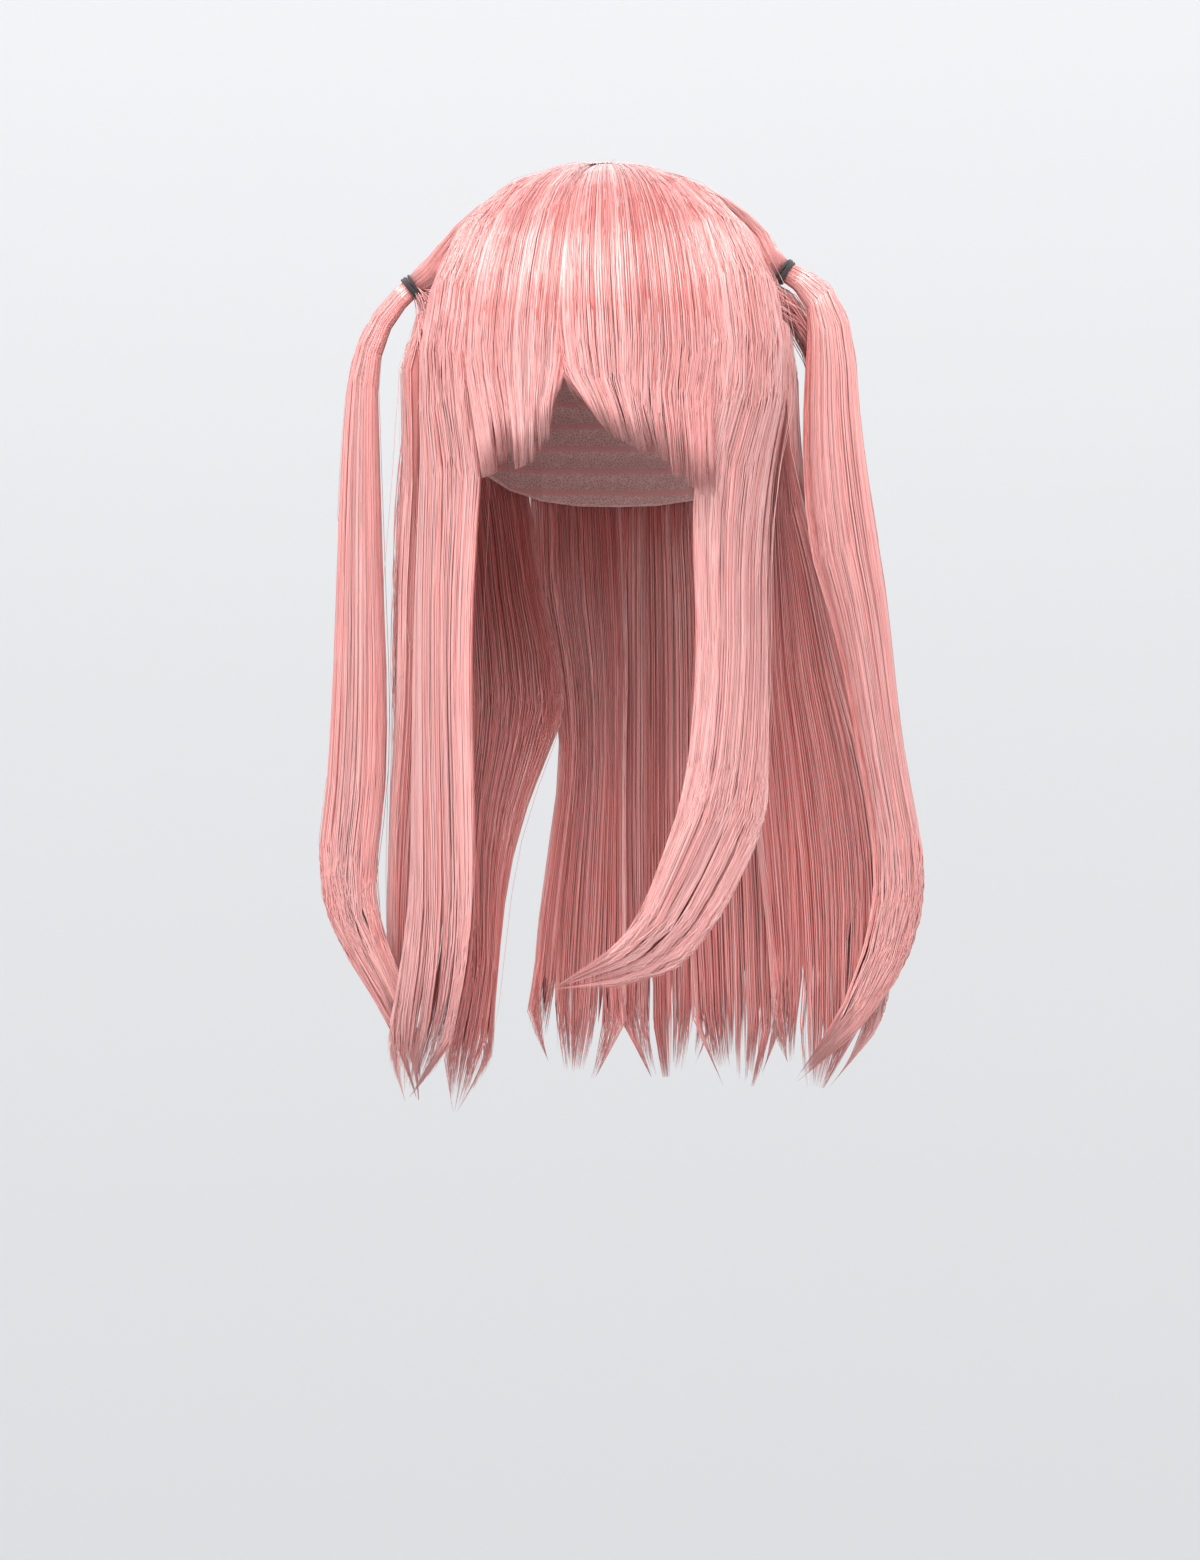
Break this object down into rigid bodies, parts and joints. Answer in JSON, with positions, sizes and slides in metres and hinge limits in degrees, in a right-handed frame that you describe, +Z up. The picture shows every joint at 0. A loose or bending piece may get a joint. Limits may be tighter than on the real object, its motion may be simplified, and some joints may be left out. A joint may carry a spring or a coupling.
{
  "type": "straight synthetic half-up wig with a split fringe and two tied side tails",
  "caption": "Long straight synthetic wig on a stretch cap, with a split fringe, side locks, loose back hair and two high side tails held by elastic ties.",
  "frame": {"origin": "inside of the cap at the crown, where the top of the wearer's head sits", "axes": "+Z up, the face at -Y, the wearer's left at +X, with the wig as worn on an upright head"},
  "size_m": [0.3142, 0.223, 0.4827],
  "materials": {
    "pink_fibre": "glossy synthetic fibre, soft pink with peach highlights",
    "cap_net": "matt stretch net",
    "black_elastic": "matt wound elastic"
  },
  "bodies": {
    "root": {"wig_cap": "cap_net", "fringe_right": "pink_fibre", "fringe_left": "pink_fibre", "side_lock_right": "pink_fibre", "side_lock_left": "pink_fibre", "ear_lock_right": "pink_fibre", "ear_lock_left": "pink_fibre", "nape_lock_right": "pink_fibre", "nape_lock_left": "pink_fibre", "back_lock_right": "pink_fibre", "back_lock_left": "pink_fibre", "gather_right": "pink_fibre", "gather_left": "pink_fibre", "tail_right": "pink_fibre", "tail_left": "pink_fibre", "hair_tie_right": "black_elastic", "hair_tie_left": "black_elastic"}
  },
  "joints": []
}
